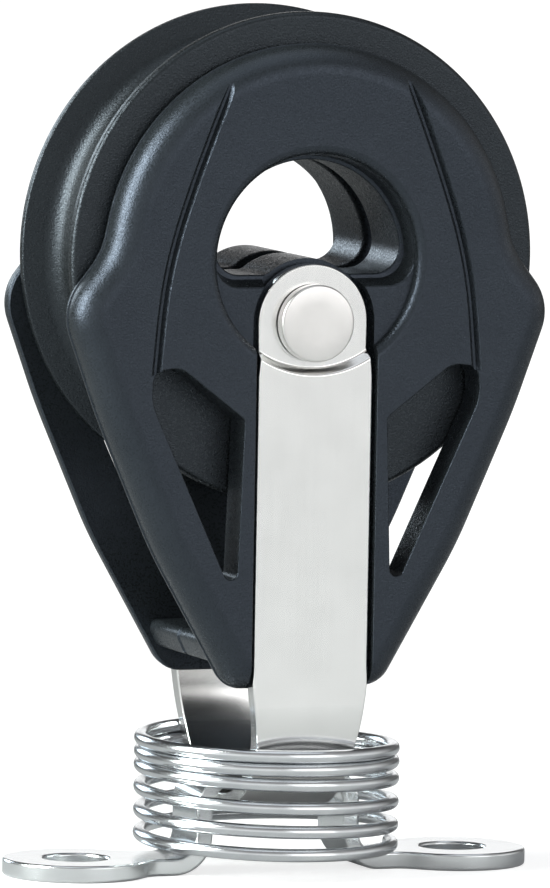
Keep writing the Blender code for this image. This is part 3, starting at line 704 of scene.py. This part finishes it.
def build_cheeks():
    front = cheek_plate()
    combine(front, hub_half(), "UNION")
    combine(front, web(), "UNION")
    cutters = [
        mouth_cutter(),
        hole_cutter(),
        strap_room(),
        rivet_bore_cutter("cheek_bore", -CHEEK_FACE_Y - OUTSIDE, OUTSIDE),
    ]
    for side in (-1, 1):
        cutters += [window_cutter(side), channel_cutter(side)]
    for cutter in cutters:
        combine(front, cutter, "DIFFERENCE")
    applied(front)
    weld(front)
    rear_mesh = front.data.copy()
    rear_mesh.transform(Matrix.Scale(-1, 4, (0, 1, 0)))
    rear_mesh.flip_normals()
    rear = add("rear_cheek_shell", rear_mesh)
    for item, node in ((front, "front_cheek"), (rear, "rear_cheek")):
        smooth(item)
        finish_piece(item, "block", node, "cheek_plastic")


# Sheave


def build_sheave():
    corners = [
        (OUTER_RACE_RADIUS, -SHEAVE_HALF_WIDTH, RACE_EDGE_ROUND),
        (SHEAVE_CREST_RADIUS, -SHEAVE_HALF_WIDTH, CREST_OUTER_ROUND),
        (SHEAVE_CREST_RADIUS, -SHEAVE_HALF_WIDTH + RIM_THICKNESS, CREST_INNER_ROUND),
        GROOVE_CORNER,
        GROOVE_FLANK,
        (SHEAVE_TREAD_RADIUS, 0, 0),
        (OUTER_RACE_RADIUS, 0, 0),
    ]
    profile = rounded(corners, 8)
    half = profile[-1:] + profile[:-1]
    other = [(radius, -y) for radius, y in reversed(half[1:-1])]
    sheave = lathe("sheave_wheel", half + other, SHEAVE_STEPS, SHEAVE_Z, closed=True)
    smooth(sheave, CURVED_SHARP_ANGLE)
    finish_piece(sheave, "sheave", "sheave", "sheave_plastic")


# Strap and rivet


def strap_front_outline():
    step_z = HEAD_Z - HEAD_STEP_DROP
    head = arc(0, HEAD_Z, STRAP_HEAD_RADIUS, 0, 90, 24)
    right = [
        (STRAP_BOTTOM_HALF_WIDTH, STRAP_UNDER_Z - OUTSIDE, 0),
        (STRAP_NECK_HALF_WIDTH, STRAP_NECK_Z, STRAP_NECK_ROUND),
        (STRAP_HALF_WIDTH, CHEEK_FOOT_Z, STRAP_NECK_ROUND),
        (STRAP_HALF_WIDTH, step_z, HEAD_SIDE_ROUND),
        (STRAP_HEAD_RADIUS, HEAD_Z - HEAD_STEP_DROP / 2, HEAD_SIDE_ROUND),
    ]
    right += [(x, z, 0) for x, z in head[:-1]]
    return rounded(right + [(0, HEAD_Z + STRAP_HEAD_RADIUS, 0)] + mirrored(right), 8)


def step_cutter(side):
    """Sinks the head of the strap, with a sloping side to the step."""
    centre_z = HEAD_Z - HEAD_ARC_DROP + HEAD_ARC_RADIUS
    levels = (
        (HEAD_ARC_SLOPE, STRAP_FACE_Y + OUTSIDE),
        (HEAD_ARC_SLOPE, STRAP_FACE_Y),
        (0, STRAP_FACE_Y - HEAD_STEP),
    )
    rings = []
    for growth, y in levels:
        outline = circle(0, centre_z, HEAD_ARC_RADIUS + growth, 120)
        rings.append([(x, side * y, z) for x, z in outline])
    return loft(f"strap_step_{side}", rings, CUTTERS)


def build_strap():
    top = HEAD_Z + STRAP_HEAD_RADIUS + OUTSIDE
    step_z = HEAD_Z - HEAD_STEP_DROP
    outer = arc(0, TILT_Z, STRAP_FACE_Y, 180, 360, 72)
    inner = arc(0, TILT_Z, STRAP_BACK_Y, 360, 180, 72)
    rear_head = [
        (STRAP_FACE_Y, top),
        (HEAD_BACK_Y, top),
        (HEAD_BACK_Y, step_z + HEAD_STEP / 2),
        (STRAP_BACK_Y, step_z - HEAD_STEP / 2),
    ]
    front_head = [(-y, z) for y, z in reversed(rear_head)]
    reach = 2 * STRAP_HALF_WIDTH
    section = outer + rear_head + inner + front_head
    strap = prism("strap_bar", section, -reach, reach, "X", LOOKS)
    outside = STRAP_FACE_Y + OUTSIDE
    plan = prism("strap_outline", strap_front_outline(), -outside, outside, "Y")
    combine(strap, plan, "INTERSECT")
    for side in (-1, 1):
        combine(strap, step_cutter(side), "DIFFERENCE")
    combine(strap, rivet_bore_cutter("strap_bore", -outside, outside), "DIFFERENCE")
    applied(strap)
    weld(strap)
    soften_edges(strap, STRAP_EDGE_ROUND)
    smooth(strap)
    finish_piece(strap, "block", "strap", "strap_steel")


def build_rivet():
    under = STRAP_FACE_Y - HEAD_STEP + RIVET_GAP
    half = [(0, -RIVET_FACE_Y), (RIVET_HEAD_RADIUS / 2, -RIVET_FACE_Y)]
    for angle in quarter(6):
        half.append((
            RIVET_HEAD_RADIUS - RIVET_EDGE_ROUND + RIVET_EDGE_ROUND * math.sin(angle),
            -RIVET_FACE_Y + RIVET_EDGE_ROUND * (1 - math.cos(angle)),
        ))
    half += [(RIVET_HEAD_RADIUS, -under), (RIVET_SHANK_RADIUS, -under)]
    profile = half + [(radius, -y) for radius, y in reversed(half)]
    rivet = lathe("head_rivet_pin", profile, 128, HEAD_Z)
    smooth(rivet, CURVED_SHARP_ANGLE)
    finish_piece(rivet, "block", "head_rivet", "rivet_steel")


# Deck eye


def eye_section():
    """The bar's path as an outline in XZ: ears on the deck, and a bridge between two legs."""
    ear_end = EYE_END_X + OUTSIDE
    inner_x = EYE_LEG_X - EYE_THICKNESS
    outer_bend = EYE_BEND_RADIUS + EYE_THICKNESS
    right = [
        (ear_end, 0, 0),
        (ear_end, EYE_THICKNESS, 0),
        (EYE_LEG_X, EYE_THICKNESS, EYE_BEND_RADIUS),
        (EYE_LEG_X, EYE_TOP_Z, outer_bend),
    ]
    inside = [
        (-inner_x, 0, outer_bend),
        (-inner_x, EYE_TOP_Z - EYE_THICKNESS, EYE_BEND_RADIUS),
    ]
    return rounded(right + mirrored(right) + inside + mirrored(inside), 14)


def eye_plan():
    """The eye from above: a straight bar between two round ears."""
    blend = math.radians(EAR_NECK_ANGLE)
    ear_side = EAR_RADIUS * math.sin(blend)
    slope = (ear_side - EYE_HALF_WIDTH) / math.tan(blend)
    neck_x = EAR_HOLE_X - EAR_RADIUS * math.cos(blend) - slope
    ear_end = 180 - EAR_NECK_ANGLE
    ear = [(x, y, 0) for x, y in arc(EAR_HOLE_X, 0, EAR_RADIUS, -ear_end, ear_end, 60)]
    low_neck = (neck_x, -EYE_HALF_WIDTH, EAR_NECK_ROUND)
    high_neck = (neck_x, EYE_HALF_WIDTH, EAR_NECK_ROUND)
    half = [low_neck] + ear + [high_neck]
    return rounded(half + mirrored(half), 10)


def build_eye():
    eye = prism("deck_eye", eye_section(), -2 * EAR_RADIUS, 2 * EAR_RADIUS, "Y", LOOKS)
    combine(eye, prism("eye_plan", eye_plan(), -OUTSIDE, EYE_TOP_Z + OUTSIDE, "Z"), "INTERSECT")
    for side in (-1, 1):
        outline = circle(side * EAR_HOLE_X, 0, EAR_HOLE_RADIUS, 60)
        hole = prism(f"ear_hole_{side}", outline, -OUTSIDE, EYE_THICKNESS + OUTSIDE, "Z")
        combine(eye, hole, "DIFFERENCE")
    applied(eye)
    weld(eye)
    soften_edges(eye, EYE_EDGE_ROUND)
    smooth(eye)
    finish_piece(eye, "base", "fixed_eye", "eye_steel")


# Spring


def spring_heights(count):
    """Height of the wire's middle at each step: flat at the bottom, open, closed at the top."""
    heights = [SPRING_BOTTOM_Z + WIRE_DIAMETER / 2]
    step = SPRING_TURNS / count
    for index in range(count):
        here = (index + 0.5) * step
        if here < SPRING_FLAT_TURNS + SPRING_OPENING_TURNS:
            pitch = SPRING_PITCH * max(0, (here - SPRING_FLAT_TURNS) / SPRING_OPENING_TURNS)
        else:
            share = min(1, max(0, (here - SPRING_CLOSING_TURN) / SPRING_CLOSING_TURNS))
            pitch = SPRING_PITCH + (SPRING_CLOSED_PITCH - SPRING_PITCH) * share
        heights.append(heights[-1] + pitch * step)
    return heights


def wire_ring(centre, outward):
    radius = WIRE_DIAMETER / 2
    ring = []
    for index in range(WIRE_SIDES):
        angle = 2 * math.pi * index / WIRE_SIDES
        rise = Vector((0, 0, radius * math.sin(angle)))
        ring.append(tuple(centre + outward * (radius * math.cos(angle)) + rise))
    return ring


def build_spring():
    count = int(SPRING_TURNS * SPRING_STEPS_PER_TURN)
    rings = []
    for index, height in enumerate(spring_heights(count)):
        turn = SPRING_TURNS * index / count
        angle = math.radians(SPRING_START_ANGLE) + 2 * math.pi * turn
        outward = Vector((math.cos(angle), -math.sin(angle), 0))
        rings.append(wire_ring(outward * SPRING_RADIUS + Vector((0, 0, height)), outward))
    spring = loft("spring_coil", rings)
    smooth(spring, SPRING_SHARP_ANGLE)
    wear(spring, "spring_steel")
    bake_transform(spring)
    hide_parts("spring")


# Nodes that the materials, the world and the floor share


def new_material(name, colour, roughness, metallic):
    material = bpy.data.materials.new(name)
    material.use_nodes = True
    shader = material.node_tree.nodes["Principled BSDF"]
    shader.inputs["Base Color"].default_value = (*colour, 1)
    shader.inputs["Roughness"].default_value = roughness
    shader.inputs["Metallic"].default_value = metallic
    return material, shader


def ramp(tree, value, start, end, first, last):
    """A value from start to end made to run from first to last, and held there outside."""
    node = tree.nodes.new("ShaderNodeMapRange")
    node.inputs["From Min"].default_value = start
    node.inputs["From Max"].default_value = end
    node.inputs["To Min"].default_value = first
    node.inputs["To Max"].default_value = last
    tree.links.new(value, node.inputs["Value"])
    return node.outputs["Result"]


def multiplied(tree, value, other):
    node = tree.nodes.new("ShaderNodeMath")
    node.operation = "MULTIPLY"
    tree.links.new(value, node.inputs[0])
    tree.links.new(other, node.inputs[1])
    return node.outputs[0]


def tint(tree, value, dark, light):
    node = tree.nodes.new("ShaderNodeMix")
    node.data_type = "RGBA"
    node.inputs["A"].default_value = (*dark, 1)
    node.inputs["B"].default_value = (*light, 1)
    tree.links.new(value, node.inputs["Factor"])
    return node.outputs["Result"]


# Materials


def add_noise(tree, scale, detail, stretch=(1, 1, 1)):
    place = tree.nodes.new("ShaderNodeTexCoord")
    mapping = tree.nodes.new("ShaderNodeMapping")
    mapping.inputs["Scale"].default_value = stretch
    noise = tree.nodes.new("ShaderNodeTexNoise")
    noise.inputs["Scale"].default_value = scale
    noise.inputs["Detail"].default_value = detail
    tree.links.new(place.outputs["Object"], mapping.inputs["Vector"])
    tree.links.new(mapping.outputs["Vector"], noise.inputs["Vector"])
    return noise.outputs["Fac"]


def spread(tree, noise, low, high):
    return ramp(tree, noise, NOISE_LOW, NOISE_HIGH, low, high)


def bump(tree, shader, heights, distance):
    """Bump from (height, strength) pairs, one on top of the other."""
    normal = None
    for height, strength in heights:
        node = tree.nodes.new("ShaderNodeBump")
        node.inputs["Strength"].default_value = strength
        node.inputs["Distance"].default_value = distance
        tree.links.new(height, node.inputs["Height"])
        if normal:
            tree.links.new(normal, node.inputs["Normal"])
        normal = node.outputs["Normal"]
    tree.links.new(normal, shader.inputs["Normal"])


def moulded_plastic(name, dark, light, specular, roughness, speckle, grain):
    """Plastic with a cloudy colour, speckled gloss and the fine grain of its mould."""
    material, shader = new_material(name, light, roughness, 0)
    shader.inputs["Specular Tint"].default_value = (*specular, 1)
    tree = material.node_tree
    cloud = spread(tree, add_noise(tree, CLOUD_SCALE, 4), 0, 1)
    tree.links.new(tint(tree, cloud, dark, light), shader.inputs["Base Color"])
    speckles = add_noise(tree, SPECKLE_SCALE, 2)
    rough = spread(tree, speckles, roughness - speckle, roughness + speckle)
    tree.links.new(rough, shader.inputs["Roughness"])
    fine = add_noise(tree, GRAIN_SCALE, 3)
    coarse = add_noise(tree, COARSE_GRAIN_SCALE, 2)
    bump(tree, shader, ((fine, grain), (coarse, grain * COARSE_GRAIN_SHARE)), GRAIN_DEPTH)
    return material


def satin_steel(name, dark, light, roughness, stretch, strength):
    """Polished steel with faint lines along one axis and a little cloudiness."""
    material, shader = new_material(name, light, roughness, 1)
    tree = material.node_tree
    lines = add_noise(tree, LINE_SCALE, 3, stretch)
    cloud = add_noise(tree, STEEL_CLOUD_SCALE, 4)
    tree.links.new(tint(tree, spread(tree, cloud, 0, 1), dark, light), shader.inputs["Base Color"])
    rough = spread(tree, lines, roughness - LINE_ROUGHNESS, roughness + LINE_ROUGHNESS)
    tree.links.new(rough, shader.inputs["Roughness"])
    bump(tree, shader, ((lines, strength), (cloud, strength)), LINE_DEPTH)
    return material


# By material slot
MATERIALS = {
    "cheek_plastic": moulded_plastic(
        "cheek_moulding", dark=(0.010, 0.012, 0.013), light=(0.013, 0.0155, 0.017),
        specular=(0.66, 0.78, 1.0), roughness=0.33, speckle=0.15, grain=0.6,
    ),
    "sheave_plastic": moulded_plastic(
        "sheave_moulding", dark=(0.005, 0.006, 0.0065), light=(0.007, 0.0085, 0.009),
        specular=(0.68, 0.78, 0.90), roughness=0.30, speckle=0.10, grain=0.8,
    ),
    "ball_plastic": moulded_plastic(
        "ball_moulding", dark=(0.70, 0.69, 0.64), light=(0.80, 0.79, 0.75),
        specular=(1.0, 1.0, 1.0), roughness=0.35, speckle=0.05, grain=0.05,
    ),
    "strap_steel": satin_steel(
        "strap_satin", dark=(0.86, 0.855, 0.845), light=(0.91, 0.905, 0.895),
        roughness=0.20, stretch=(1, 1, 0.04), strength=0.012,
    ),
    "eye_steel": satin_steel(
        "eye_satin", dark=(0.78, 0.80, 0.81), light=(0.86, 0.88, 0.89),
        roughness=0.22, stretch=(0.05, 1, 1), strength=0.05,
    ),
    "rivet_steel": satin_steel(
        "rivet_tumbled", dark=(0.72, 0.705, 0.69), light=(0.79, 0.775, 0.76),
        roughness=0.30, stretch=(1, 1, 1), strength=0.06,
    ),
    "spring_steel": satin_steel(
        "spring_wire", dark=(0.60, 0.62, 0.64), light=(0.72, 0.74, 0.755),
        roughness=0.19, stretch=(1, 1, 0.3), strength=0.03,
    ),
}


# Stage


def add_area_light(name, place, width, height, power, colour):
    light = bpy.data.lights.new(name, "AREA")
    light.shape = "RECTANGLE"
    light.size = width
    light.size_y = height
    light.energy = power
    light.color = colour
    item = bpy.data.objects.new(name, light)
    item.location = place
    aim = Vector(LIGHT_TARGET) - Vector(place)
    item.rotation_euler = aim.to_track_quat("-Z", "Y").to_euler()
    bpy.context.scene.collection.objects.link(item)


def build_world():
    """White to the camera. It lights the object as a studio that is bright low down in front."""
    world = bpy.data.worlds.new("studio")
    bpy.context.scene.world = world
    world.use_nodes = True
    tree = world.node_tree
    background = tree.nodes["Background"]
    background.inputs["Color"].default_value = (1, 1, 1, 1)
    path = tree.nodes.new("ShaderNodeLightPath")
    place = tree.nodes.new("ShaderNodeTexCoord")
    split = tree.nodes.new("ShaderNodeSeparateXYZ")
    tree.links.new(place.outputs["Generated"], split.inputs[0])
    height = ramp(tree, split.outputs["Z"], WORLD_LOW_EDGE, WORLD_HIGH_EDGE, 1, WORLD_OVERHEAD)
    depth = ramp(tree, split.outputs["Y"], WORLD_FRONT_EDGE, WORLD_REAR_EDGE, 1, WORLD_REAR)
    strength = tree.nodes.new("ShaderNodeMapRange")
    strength.inputs["To Max"].default_value = 1
    tree.links.new(multiplied(tree, height, depth), strength.inputs["To Min"])
    tree.links.new(path.outputs["Is Camera Ray"], strength.inputs["Value"])
    tree.links.new(strength.outputs["Result"], background.inputs["Strength"])


def floor_material():
    material, shader = new_material("floor_white", FLOOR_BRIGHT, FLOOR_ROUGHNESS, 0)
    shader.inputs["Specular IOR Level"].default_value = 0
    shader.inputs["Emission Color"].default_value = (1, 1, 1, 1)
    tree = material.node_tree
    path = tree.nodes.new("ShaderNodeLightPath")
    place = tree.nodes.new("ShaderNodeTexCoord")
    across = tree.nodes.new("ShaderNodeSeparateXYZ")
    tree.links.new(place.outputs["Object"], across.inputs[0])
    shade = ramp(tree, across.outputs["Y"], FLOOR_BRIGHT_Y, FLOOR_DIM_Y, 0, 1)
    tree.links.new(tint(tree, shade, FLOOR_BRIGHT, FLOOR_DIM), shader.inputs["Base Color"])
    away = tree.nodes.new("ShaderNodeVectorMath")
    away.operation = "LENGTH"
    tree.links.new(place.outputs["Object"], away.inputs[0])
    distance = away.outputs["Value"]
    glow = ramp(tree, distance, GLOW_NEAR_DISTANCE, GLOW_FAR_DISTANCE, GLOW_NEAR, GLOW_FAR)
    seen = multiplied(tree, path.outputs["Is Camera Ray"], glow)
    tree.links.new(seen, shader.inputs["Emission Strength"])
    return material


def build_floor():
    mesh = bpy.data.meshes.new("studio_floor")
    work = bmesh.new()
    bmesh.ops.create_grid(work, x_segments=1, y_segments=1, size=FLOOR_HALF_SIZE)
    work.to_mesh(mesh)
    work.free()
    mesh.materials.append(floor_material())
    floor = bpy.data.objects.new("studio_floor", mesh)
    bpy.context.scene.collection.objects.link(floor)


def build_camera():
    yaw = math.radians(CAMERA_AZIMUTH)
    rise = math.radians(CAMERA_ELEVATION)
    roll = math.radians(CAMERA_ROLL)
    turns = Matrix.Rotation(roll, 3, "Y") @ Matrix.Rotation(rise, 3, "X") @ Matrix.Rotation(yaw, 3, "Z")
    right, forward, up = turns
    place = Vector(CAMERA_TARGET) - forward * CAMERA_DISTANCE
    place -= right * TARGET_OFFSET[0] + up * TARGET_OFFSET[1]
    camera = bpy.data.cameras.new("camera")
    camera.sensor_fit = "VERTICAL"
    camera.sensor_height = SENSOR_HEIGHT_MM
    camera.lens = FOCAL_LENGTH_PX / IMAGE_HEIGHT_PX * SENSOR_HEIGHT_MM
    camera.clip_start = CLIP_START
    camera.clip_end = CLIP_END
    item = bpy.data.objects.new("camera", camera)
    facing = Matrix((right, up, -forward)).transposed().to_4x4()
    item.matrix_world = Matrix.Translation(place) @ facing
    bpy.context.scene.collection.objects.link(item)
    bpy.context.scene.camera = item


def build_stage():
    build_camera()
    build_world()
    build_floor()
    for lamp in LIGHTS:
        add_area_light(*lamp)
    bpy.context.scene.view_settings.view_transform = "Standard"


def main():
    build_eye()
    build_spring()
    build_strap()
    build_rivet()
    build_cheeks()
    build_sheave()
    for name, node in frame["nodes"].items():
        if name.startswith("ball_"):
            wear(node, "ball_plastic")
    for cutter in list(CUTTERS.objects):
        bpy.data.objects.remove(cutter, do_unlink=True)
    build_stage()


main()
